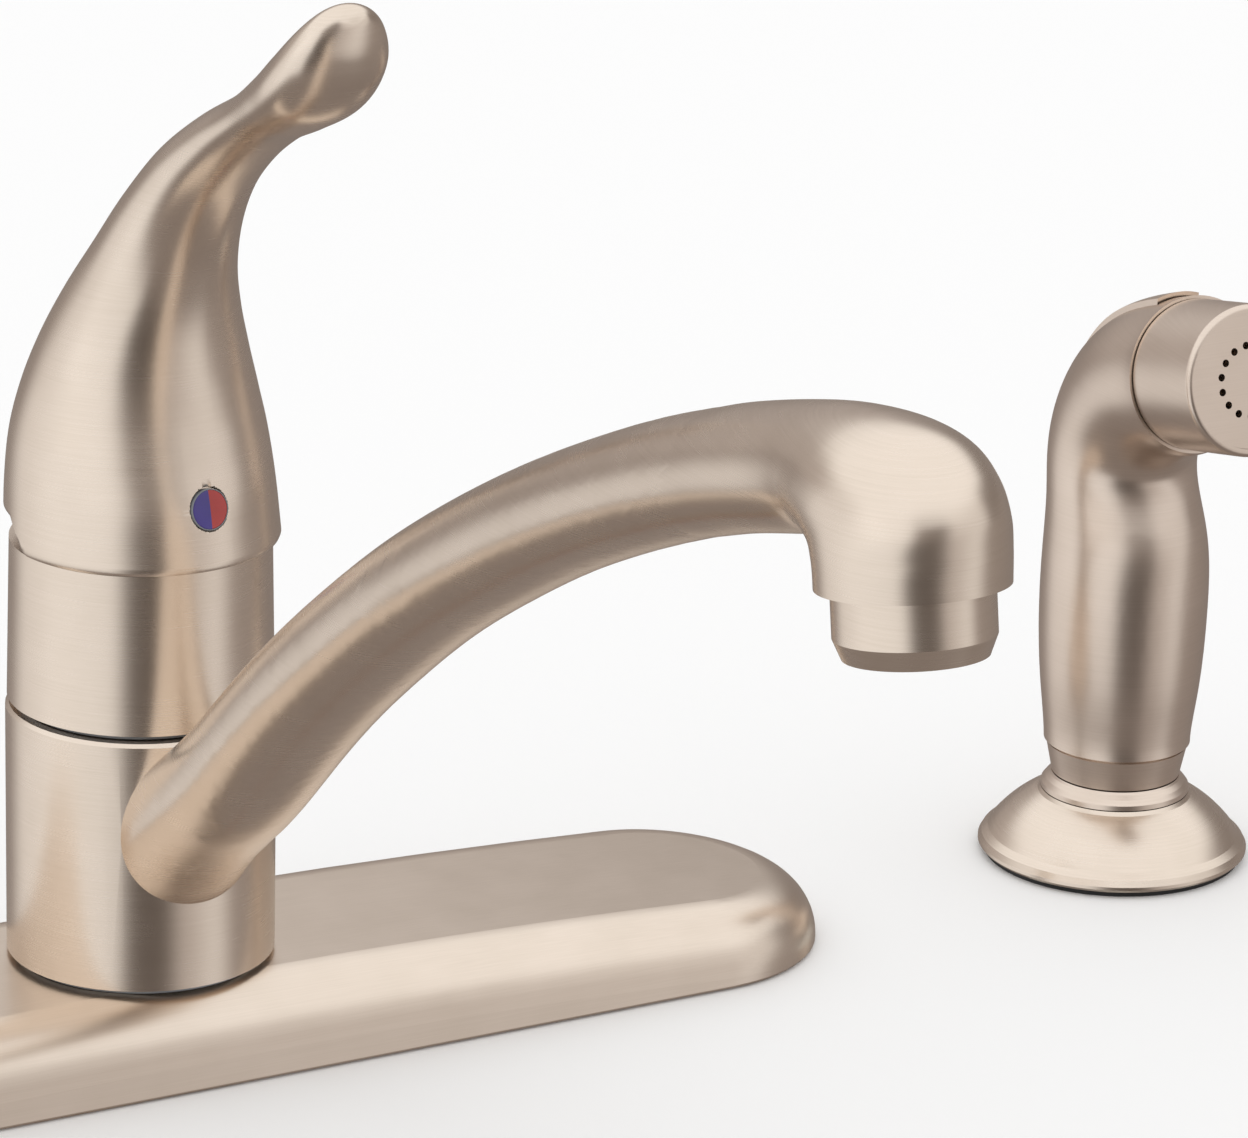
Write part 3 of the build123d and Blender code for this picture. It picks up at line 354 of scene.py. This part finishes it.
def lever_skin(wall, well):
    """The lever's skin, from the top of its hollow down to its rim and up outside to its tip.

    Each row is an ellipse: depth, height, forward lean, half width and half depth in millimetres.
    A cubic runs through centres, leans and squared half sizes, so that the tip closes round.
    Behind, the rim steps up by 5 mm. In front, a round well takes the button.
    """
    rows = np.array([*LEVER_ROWS, LEVER_TIP])
    rows[:, 3:] **= 2
    fine = np.arange(*FINE_ANGLES, FINE_ANGLE_STEP)
    around = np.radians(
        np.concatenate([fine, np.linspace(*WIDE_ANGLES, WIDE_COLUMNS, endpoint=False)])
    )
    outer = lever_steps()
    inner = np.linspace(HOLLOW_ROW, RIM_ROW, INNER_STEPS)
    at = np.concatenate([inner, [0.0, 0.0], outer])[:, None]
    rim = [wall - RIM_ROUND, RIM_ROUND]
    inset = np.concatenate([np.full(INNER_STEPS, wall), rim, np.zeros(len(outer))])[:, None]
    skirt_y, skirt_z, _, _, skirt_depth = LEVER_ROWS[0]
    behind = skirt_y + skirt_depth * np.sin(around) - NOTCH_FRONT
    notch = np.clip(behind, 0, NOTCH_HEIGHT) / (LEVER_ROWS[1][1] - skirt_z)
    along = at + notch * np.clip(1 - at / NOTCH_FADE_ROW, 0, 1)
    y, z, tilt, width, depth = np.moveaxis(course(rows, along), -1, 0)
    width = np.sqrt(np.clip(width, 0, None)) - inset
    depth = np.sqrt(np.clip(depth, 0, None)) - inset
    tilt = np.radians(tilt)
    x = width * np.cos(around)
    y = y + depth * np.sin(around) * np.cos(tilt)
    z = z + depth * np.sin(around) * np.sin(tilt)
    away = np.hypot(x, z - BUTTON_HEIGHT)
    sunk = np.clip((well - away) / WELL_EDGE, 0, 1) * (y < WELL_REACH) * (inset == 0)
    grid = np.stack([x, y + WELL_DEPTH * sunk, z], -1)
    ceiling, tip = np.array([(0, *rows[row, :2]) for row in (HOLLOW_ROW, -1)])
    return close_shell("lever_skin", at_rest(grid), at_rest(ceiling), at_rest(tip))


OUTLET_ROWS = [
    (190.5, 171.0, 197.5, 153.8, 10.9),
    (204.9, 176.6, 210.9, 158.6, 11.0),
    (221.8, 181.9, 227.0, 163.5, 11.1),
    (234.0, 184.9, 232.0, 165.0, 11.9),
    (245.0, 186.2, 234.9, 165.3, 13.2),
    (253.5, 185.3, 236.2, 165.1, 13.9),
    (260.0, 181.7, 236.9, 164.6, 14.1),
    (263.5, 176.6, 237.2, 163.8, 14.2),
    (264.7, 171.2, 237.4, 162.9, 14.1),
    (265.2, 165.6, 237.6, 161.4, 14.0),
]
OUTLET_STEPS = 110
OUTLET_COLUMNS = 96
OUTLET_END_RINGS = (0.5, 0.9, 0.98)  # scales of the rings that close the two flat ends


def outlet_skin():
    """The arm's last stretch and the outlet's dome as one smooth bend over the casting.

    Each row is an ellipse across the bend: reach and height of its outer end, the same of its
    inner end, and its half width, in millimetres. A cubic runs through the rows, and both ends
    close flat.
    """
    around = np.radians(np.linspace(0, 360, OUTLET_COLUMNS, endpoint=False))[:, None]
    at = np.linspace(0, len(OUTLET_ROWS) - 1, OUTLET_STEPS)
    out_y, out_z, in_y, in_z, width = np.moveaxis(course(OUTLET_ROWS, at), -1, 0)[..., None]
    middle = np.stack([0 * out_y, -(out_y + in_y) / 2, (out_z + in_z) / 2], -1)
    across = np.stack([0 * out_y, -(out_y - in_y) / 2, (out_z - in_z) / 2], -1)
    aside = np.stack([width, 0 * width, 0 * width], -1)
    ring = aside * np.cos(around) + across * np.sin(around)
    shrink = np.array(OUTLET_END_RINGS)[:, None, None]
    root = middle[0] + shrink * ring[0]
    mouth = middle[-1] + shrink[::-1] * ring[-1]
    grid = np.concatenate([root, middle + ring, mouth]) * MM
    return close_shell("outlet_skin", grid, middle[0, 0] * MM, middle[-1, 0] * MM)


BUTTON_LEAN = 13.0  # degrees that the lever's front leans back at the button
BUTTON_DEPTH = -22.5  # of the lever's front at the button, before the lever is turned
BUTTON_PROFILE = [
    (3.55, -1.1),
    (3.55, 0.0),
    (3.5, 0.06),
    (3.42, 0.07),
    (3.38, 0.02),
    (3.37, -0.15),
]
MARKER_EDGE = [(1.0, -0.25), (1.0, -0.06), (0.98, -0.02), (0.95, 0.0)]
MARKER_RADIUS = 3.35
MARKER_DOME = 0.12
PLATE_STEPS = 9  # rings between a plate's middle and its edge
PLATE_MIDDLE = 0.08  # scale of the innermost ring
PLATE_SHARP = 50.0
PLUG_COLUMNS = 72
HALF_ARC_COLUMNS = 41
HALF_CHORD_COLUMNS = 21


def button_shell(name, outline, profile, dome):
    """A closed plate on the lever's front: an outline scaled out and in along a profile.

    The profile's points are a scale and a height. The face rises by dome at the button's middle
    and falls off with the square of the radius.
    """
    steps = np.linspace(PLATE_MIDDLE, 1, PLATE_STEPS + 1)[:-1]
    (back_scale, back_height), (face_scale, face_height) = profile[0], profile[-1]
    back = np.stack([back_scale * steps, np.full(PLATE_STEPS, back_height)], -1)
    face = np.stack([face_scale * steps[::-1], np.full(PLATE_STEPS, face_height)], -1)
    path = np.concatenate([back, np.array(profile), face])
    flat = path[:, None, :1] * outline
    radius = np.hypot(flat[..., 0], flat[..., 1]) / MARKER_RADIUS
    in_front = np.arange(len(path))[:, None] > len(back)
    rise = path[:, 1:] + dome * np.clip(1 - radius**2, 0, 1) * in_front
    lean = math.radians(BUTTON_LEAN)
    up, out = math.cos(lean), math.sin(lean)
    leaned = np.array([[1, 0, 0], [0, out, up], [0, -up, out]])
    grid = np.concatenate([flat, rise[..., None]], -1) @ leaned
    grid = at_rest(grid + [0, BUTTON_DEPTH, BUTTON_HEIGHT])
    return close_shell(name, grid, grid[0].mean(0), grid[-1].mean(0), PLATE_SHARP)


def disc_outline():
    """A circle of radius 1, run round to the left as seen from outside."""
    around = np.radians(np.linspace(0, 360, PLUG_COLUMNS, endpoint=False))
    return np.stack([np.cos(around), np.sin(around)], -1)


def half_outline(side):
    """Half the marker's outline, run round the same way: side is -1 for left, 1 for right."""
    arc = np.radians(np.linspace(-90, 90, HALF_ARC_COLUMNS))
    chord = np.linspace(1, -1, HALF_CHORD_COLUMNS)[1:-1]
    curved = np.stack([np.cos(arc), np.sin(arc)], -1)
    straight = np.stack([0 * chord, chord], -1)
    return MARKER_RADIUS * side * np.concatenate([curved, straight])


class FaucetForms(bpy.types.PropertyGroup):
    """Sizes of the formed pieces."""

    lever_wall: FloatProperty(
        name="Lever wall",
        description="Thickness of the hollow lever's wall",
        min=1 * MM,
        max=4 * MM,
        default=2.3 * MM,
        unit="LENGTH",
    )
    button_well: FloatProperty(
        name="Button well",
        description="Radius of the well in the lever's front",
        min=3.6 * MM,
        max=4.2 * MM,
        default=3.72 * MM,
        unit="LENGTH",
    )


class FaucetFinishes(bpy.types.PropertyGroup):
    """Colours and roughness of the faucet's finishes."""

    nickel_light: FloatVectorProperty(
        name="Nickel",
        description="Reflection colour of the brushed nickel",
        subtype="COLOR",
        size=3,
        min=0,
        max=1,
        default=colour("#E8DACC")[:3],
    )
    nickel_shade: FloatVectorProperty(
        name="Nickel shade",
        description="Reflection colour between the brushed nickel's lines",
        subtype="COLOR",
        size=3,
        min=0,
        max=1,
        default=colour("#DFD1C2")[:3],
    )
    nickel_roughness: FloatProperty(
        name="Nickel roughness",
        description="Roughness of the brushed nickel",
        min=0.05,
        max=0.8,
        default=0.27,
        subtype="FACTOR",
    )


class FaucetStudio(bpy.types.PropertyGroup):
    """The camera's lens and the light."""

    lens: FloatProperty(
        name="Lens",
        description="Focal length of the camera in millimetres on a 36 mm sensor",
        min=20,
        max=400,
        default=201.9,
    )
    soft_light: FloatProperty(
        name="Soft light",
        description="Strength of the soft boxes that the metal reflects",
        min=0,
        max=3,
        default=1.0,
    )


class FAUCET_OT_nickel(bpy.types.Operator):
    """Brushed nickel on the cast and turned pieces that show"""

    bl_idname = "faucet.nickel"
    bl_label = "Brushed nickel"

    def execute(self, context):
        finishes = context.scene.faucet_finishes
        light = (*finishes.nickel_light, 1.0)
        shade = (*finishes.nickel_shade, 1.0)
        rough = finishes.nickel_roughness
        turned = brushed_nickel("brushed_nickel_turned", light, shade, LINES_ROUND, rough)
        long = brushed_nickel(
            "brushed_nickel_long", light, shade, LINES_ALONG_X, rough + PLATE_ROUGHER
        )
        dress(turned, "upper_sleeve", "spout", "aerator_housing", "spray_guide", "lever_handle")
        dress(long, "deck_plate")
        return {"FINISHED"}


class FAUCET_OT_lever(bpy.types.Operator):
    """The lever as one smooth skin, with its rim, its step behind and the button's well"""

    bl_idname = "faucet.lever"
    bl_label = "Lever"

    def execute(self, context):
        forms = context.scene.faucet_forms
        piece = lever_skin(forms.lever_wall / MM, forms.button_well / MM)
        piece.data.materials.append(bpy.data.materials["brushed_nickel_turned"])
        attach(piece, "handle")
        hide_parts("lever_handle")
        return {"FINISHED"}


class FAUCET_OT_outlet(bpy.types.Operator):
    """The smooth bend from the arm into the outlet's dome"""

    bl_idname = "faucet.outlet"
    bl_label = "Outlet bend"

    def execute(self, context):
        piece = outlet_skin()
        piece.data.materials.append(bpy.data.materials["brushed_nickel_turned"])
        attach(piece, "swivel_spout")
        return {"FINISHED"}


class FAUCET_OT_button(bpy.types.Operator):
    """The temperature button: a plug with a fine rim and two domed enamel halves"""

    bl_idname = "faucet.button"
    bl_label = "Temperature button"

    def execute(self, context):
        plug = button_shell("button_plug", disc_outline(), BUTTON_PROFILE, 0.0)
        cold = button_shell("cold_enamel", half_outline(-1), MARKER_EDGE, MARKER_DOME)
        hot = button_shell("hot_enamel", half_outline(1), MARKER_EDGE, MARKER_DOME)
        made = (
            (plug, "temperature_button", "grey_plastic"),
            (cold, "cold_marker", "blue_enamel"),
            (hot, "hot_marker", "red_enamel"),
        )
        for piece, node, slot in made:
            piece.data.materials.append(NODES[node].material_slots[0].material)
            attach(piece, "handle")
            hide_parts(node)
        return {"FINISHED"}


class FAUCET_OT_spray(bpy.types.Operator):
    """Nickel coat over plastic on the hand spray"""

    bl_idname = "faucet.spray"
    bl_label = "Hand spray finish"

    def execute(self, context):
        rough = context.scene.faucet_finishes.nickel_roughness + COAT_ROUGHER
        light, shade = colour(COAT_LIGHT), colour(COAT_SHADE)
        coat = brushed_nickel("nickel_coat_on_plastic", light, shade, LINES_ROUND, rough)
        dress(coat, "spray_grip", "spray_nozzle", "spray_face", "spray_trigger")
        dress(coat, "spray_base_ring", "guide_insert")
        return {"FINISHED"}


class FAUCET_OT_inner(bpy.types.Operator):
    """Brass, copper, steel, plastic and rubber on the pieces inside and under the deck"""

    bl_idname = "faucet.inner"
    bl_label = "Inner finishes"

    def execute(self, context):
        by_slot = {slot: plain_metal(*look) for slot, look in METALS.items()}
        by_slot.update({slot: moulded(*look) for slot, look in MOULDINGS.items()})
        for node in NODES.values():
            for holder in node.material_slots:
                if holder.material.name in by_slot:
                    holder.material = by_slot[holder.material.name]
        return {"FINISHED"}


# Light levels round the faucet: 0.5 is the camera's side, 0.75 its right, 0.25 its left, 0 behind.
LOW_SIDES = [
    (0.00, 0.25),
    (0.10, 0.32),
    (0.19, 0.90),
    (0.30, 1.05),
    (0.44, 1.00),
    (0.49, 0.11),
    (0.56, 0.12),
    (0.62, 0.62),
    (0.70, 0.88),
    (0.76, 0.35),
    (1.00, 0.25),
]
HIGH_SIDES = [
    (0.00, 0.40),
    (0.12, 0.50),
    (0.22, 0.90),
    (0.32, 1.15),
    (0.44, 1.06),
    (0.49, 0.25),
    (0.55, 0.22),
    (0.61, 0.80),
    (0.72, 0.85),
    (0.77, 0.25),
    (0.92, 0.25),
    (1.00, 0.40),
]
OVERHEAD = [(0.0, 1.1), (1.0, 1.1)]
BENEATH = [(0.0, 0.28), (1.0, 0.28)]
# Each zone's share of the light at heights from 0, straight down, to 1, straight up.
ZONES = (
    (HIGH_SIDES, [(0.49, 0), (0.56, 1)]),
    (OVERHEAD, [(0.66, 0), (0.78, 1)]),
    (BENEATH, [(0.18, 1), (0.29, 0)]),
)
# The boxes' edges lean aside by up to 0.035 of a turn between these two heights.
LEAN = {"From Min": 0.38, "From Max": 0.58, "To Min": 0.0, "To Max": -0.035}
WORLD_TURN = 119.4  # degrees that bring the levels' middle to the camera's side
DIM_GREEN = 0.18  # the share of green and of blue that a dark part of the studio lacks
DIM_BLUE = 0.27


def lit(levels):
    """Ramp stops of light levels: white where it is bright, warmer where it is dim."""
    stops = []
    for place, level in levels:
        dim = 1 - min(level, 1.0)
        green, blue = level * (1 - DIM_GREEN * dim), level * (1 - DIM_BLUE * dim)
        stops.append((place, (level, green, blue, 1)))
    return stops


def studio_world(strength):
    """A white studio. The metal sees soft boxes at the sides and above, with dim gaps between."""
    world = bpy.data.worlds.new("studio")
    world.use_nodes = True
    tree = world.node_tree
    tree.nodes.clear()
    direction = add(tree, "ShaderNodeTexCoord").outputs["Generated"]
    turned = add(
        tree,
        "ShaderNodeMapping",
        values={"Rotation": (0, 0, math.radians(WORLD_TURN))},
        links={"Vector": direction},
        vector_type="POINT",
    )
    parts = add(tree, "ShaderNodeSeparateXYZ", links={"Vector": turned}).outputs
    angle = add(
        tree,
        "ShaderNodeMath",
        links={0: parts["Y"], 1: parts["X"]},
        operation="ARCTAN2",
    )
    around = add(
        tree,
        "ShaderNodeMapRange",
        values={"From Min": -math.pi, "From Max": math.pi},
        links={"Value": angle},
    )
    height = add(
        tree,
        "ShaderNodeMapRange",
        values={"From Min": -1.0, "From Max": 1.0},
        links={"Value": parts["Z"]},
    )
    lean = add(tree, "ShaderNodeMapRange", values=LEAN, links={"Value": height})
    leaned = add(tree, "ShaderNodeMath", links={0: around, 1: lean}, operation="ADD")
    seen = add(
        tree,
        "ShaderNodeValToRGB",
        links={"Fac": leaned},
        stops=lit(LOW_SIDES),
        curve="EASE",
    )
    for levels, shares in ZONES:
        greys = [(place, (share, share, share, 1)) for place, share in shares]
        zone = add(
            tree,
            "ShaderNodeValToRGB",
            links={"Fac": leaned},
            stops=lit(levels),
            curve="EASE",
        )
        share = add(
            tree,
            "ShaderNodeValToRGB",
            links={"Fac": height},
            stops=greys,
            curve="EASE",
        )
        seen = add(
            tree,
            "ShaderNodeMix",
            links={0: share, 6: seen, 7: zone},
            data_type="RGBA",
        ).outputs[2]
    boxes = add(
        tree,
        "ShaderNodeBackground",
        values={"Strength": strength},
        links={"Color": seen},
    )
    white = add(
        tree,
        "ShaderNodeBackground",
        values={"Color": (1, 1, 1, 1), "Strength": 1.0},
    )
    glossy = add(tree, "ShaderNodeLightPath").outputs["Is Glossy Ray"]
    shader = add(
        tree,
        "ShaderNodeMixShader",
        links={0: glossy, 1: white, 2: boxes},
    )
    add(tree, "ShaderNodeOutputWorld", links={"Surface": shader})
    bpy.context.scene.world = world


DECK_REACH = 40.0
DECK_POINTS = 9
DECK_DROP = 0.05 * MM  # under the pieces that stand on it


def studio_deck():
    """A pale deck under the faucet: a wide flat grid at z just under 0, open to eyes below it."""
    steps = np.linspace(-DECK_REACH, DECK_REACH, DECK_POINTS)
    x, y = np.meshgrid(steps, steps, indexing="ij")
    points = np.stack([x, y, np.full_like(x, -DECK_DROP)], -1).reshape(-1, 3)
    index = np.arange(DECK_POINTS**2).reshape(DECK_POINTS, DECK_POINTS)
    around = [index[:-1, :-1], index[1:, :-1], index[1:, 1:], index[:-1, 1:]]
    faces = np.stack(around, -1).reshape(-1, 4)
    mesh = bpy.data.meshes.new("deck")
    mesh.from_pydata(points.tolist(), [], faces.tolist())
    mesh.update()
    deck = bpy.data.objects.new("deck", mesh)
    bpy.context.scene.collection.objects.link(deck)
    material, tree, _ = new_material("pale_deck")
    body = add(
        tree,
        "ShaderNodeBsdfPrincipled",
        values={"Base Color": colour("#FDFDFD"), "Roughness": 0.8, "Specular IOR Level": 0.1},
    )
    clear = add(tree, "ShaderNodeBsdfTransparent")
    below = add(tree, "ShaderNodeNewGeometry").outputs["Backfacing"]
    shader = add(
        tree,
        "ShaderNodeMixShader",
        links={0: below, 1: body, 2: clear},
    )
    close_material(tree, shader)
    mesh.materials.append(material)
    deck.visible_glossy = False  # the metal mirrors the studio's own dim zone instead


CAMERA_PLACE = (-486.80, -1032.72, 484.75)  # millimetres
CAMERA_AZIMUTH = 29.38
CAMERA_ELEVATION = 19.12
CAMERA_ROLL = 1.39
FRAME_MIDDLE = (624.0, 569.0)  # of the photograph's 1248 x 1138 pixels
SIGHT_LINE = (619.8, 561.2)  # pixel that the camera's azimuth and elevation aim at
FOCAL_PIXELS = 7000.0
SENSOR_WIDTH = 36.0  # millimetres


def studio_camera(lens):
    """The photograph's viewpoint: place, aim and roll as columns right, up and back."""
    azimuth = math.radians(CAMERA_AZIMUTH)
    elevation = math.radians(CAMERA_ELEVATION)
    roll = math.radians(CAMERA_ROLL)
    ahead = Vector(
        (
            math.sin(azimuth) * math.cos(elevation),
            math.cos(azimuth) * math.cos(elevation),
            -math.sin(elevation),
        )
    )
    level = Vector((math.cos(azimuth), -math.sin(azimuth), 0))
    rise = level.cross(ahead)
    right = level * math.cos(roll) + rise * math.sin(roll)
    up = rise * math.cos(roll) - level * math.sin(roll)
    across, down = (
        (middle - sight) / FOCAL_PIXELS for middle, sight in zip(FRAME_MIDDLE, SIGHT_LINE)
    )
    aim = (ahead + right * across - up * down).normalized()
    right = (right - aim * right.dot(aim)).normalized()
    up = right.cross(aim)
    data = bpy.data.cameras.new("camera")
    data.sensor_width = SENSOR_WIDTH
    data.lens = lens
    data.clip_start = 0.01
    data.clip_end = 200
    camera = bpy.data.objects.new("camera", data)
    bpy.context.scene.collection.objects.link(camera)
    turn = Matrix((right, up, -aim)).transposed()
    camera.matrix_world = Matrix.Translation(Vector(CAMERA_PLACE) * MM) @ turn.to_4x4()
    bpy.context.scene.camera = camera


class FAUCET_OT_studio(bpy.types.Operator):
    """Pale deck, soft light and the camera"""

    bl_idname = "faucet.studio"
    bl_label = "Studio"

    def execute(self, context):
        settings = context.scene.faucet_studio
        studio_world(settings.soft_light)
        studio_deck()
        studio_camera(settings.lens)
        context.scene.view_settings.view_transform = "Standard"
        return {"FINISHED"}


class FAUCET_PT_panel(bpy.types.Panel):
    """The faucet's steps and settings"""

    bl_idname = "FAUCET_PT_panel"
    bl_label = "Faucet"
    bl_space_type = "VIEW_3D"
    bl_region_type = "UI"
    bl_category = "Faucet"

    def draw(self, context):
        for place in GROUPS:
            group = getattr(context.scene, place)
            for name in group.bl_rna.properties.keys():
                if name not in ("rna_type", "name"):
                    self.layout.prop(group, name)
        for step in STEPS:
            self.layout.operator(step.bl_idname)


GROUPS = {
    "faucet_forms": FaucetForms,
    "faucet_finishes": FaucetFinishes,
    "faucet_studio": FaucetStudio,
}
STEPS = (
    FAUCET_OT_nickel,
    FAUCET_OT_lever,
    FAUCET_OT_outlet,
    FAUCET_OT_spray,
    FAUCET_OT_inner,
    FAUCET_OT_button,
    FAUCET_OT_studio,
)
CLASSES = (*GROUPS.values(), *STEPS, FAUCET_PT_panel)


def register():
    for item in CLASSES:
        bpy.utils.register_class(item)
    for place, group in GROUPS.items():
        setattr(bpy.types.Scene, place, PointerProperty(type=group))


def unregister():
    for place in GROUPS:
        delattr(bpy.types.Scene, place)
    for item in reversed(CLASSES):
        bpy.utils.unregister_class(item)


def main():
    """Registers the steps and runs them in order."""
    register()
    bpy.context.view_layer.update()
    bpy.ops.faucet.nickel()
    bpy.ops.faucet.lever()
    bpy.ops.faucet.outlet()
    bpy.ops.faucet.spray()
    bpy.ops.faucet.inner()
    bpy.ops.faucet.button()
    bpy.ops.faucet.studio()


if __name__ == "__main__":
    main()
